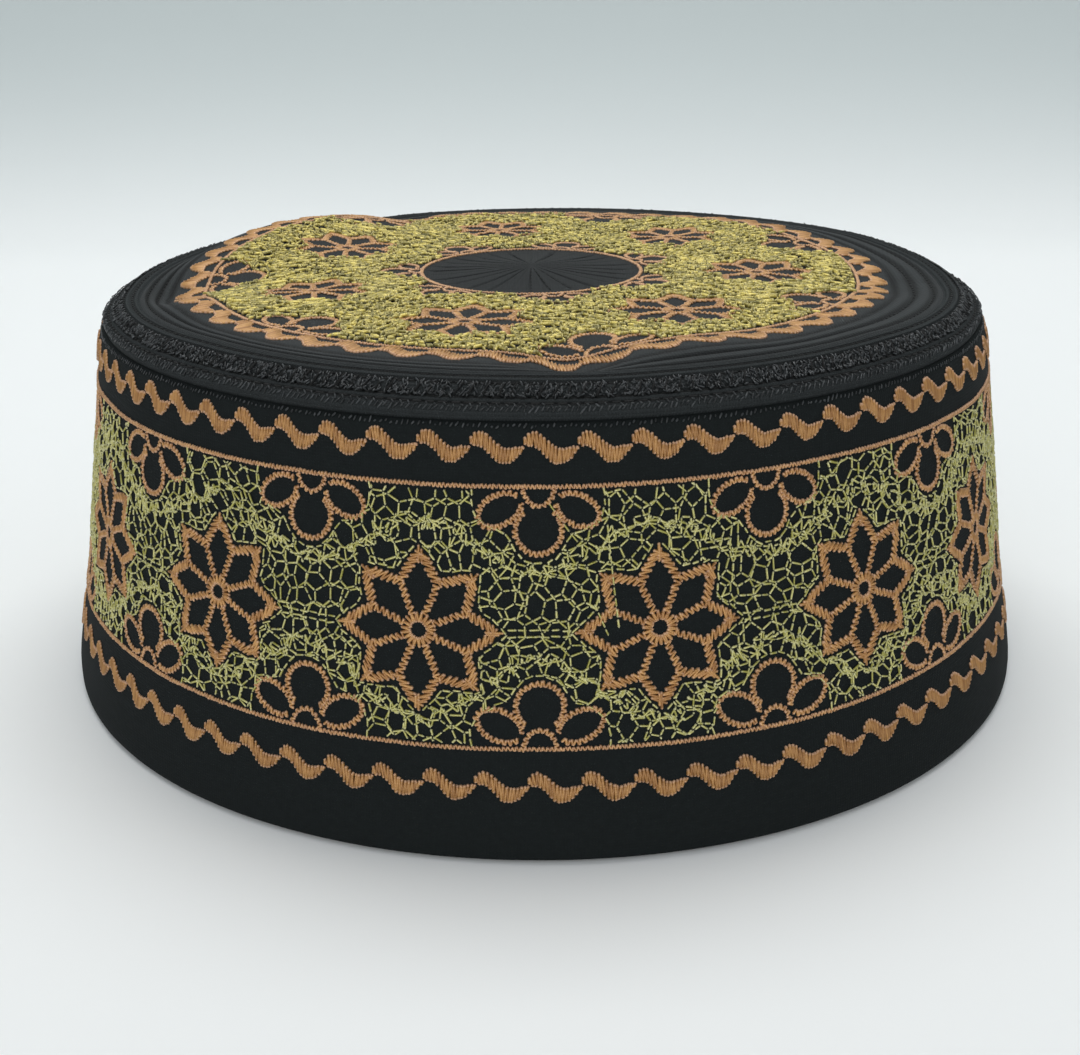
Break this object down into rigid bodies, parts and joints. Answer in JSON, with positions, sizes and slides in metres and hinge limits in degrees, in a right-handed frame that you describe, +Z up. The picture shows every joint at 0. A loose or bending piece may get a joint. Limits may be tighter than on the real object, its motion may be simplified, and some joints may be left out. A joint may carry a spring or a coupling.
{
  "type": "embroidered round cap",
  "caption": "Round stiffened cloth cap with a tapering embroidered side band, a quilted shoulder strip and a flat embroidered crown; stands on its rim.",
  "frame": {"origin": "middle of the rim's resting plane", "axes": "+Z up through the crown, the cap's axis of symmetry and its shortest extent; -Y is the front of the pictured view"},
  "size_m": [0.19, 0.19, 0.0777],
  "materials": {
    "band_cloth": "matt black woven cloth",
    "strip_cloth": "black cloth with shiny black stitches",
    "crown_cloth": "matt black woven cloth",
    "copper_thread": "satin embroidery thread",
    "green_gold_thread": "metallic embroidery thread"
  },
  "bodies": {
    "root": {"side_band": "band_cloth", "edge_strip": "strip_cloth", "crown_top": "crown_cloth"}
  },
  "joints": []
}
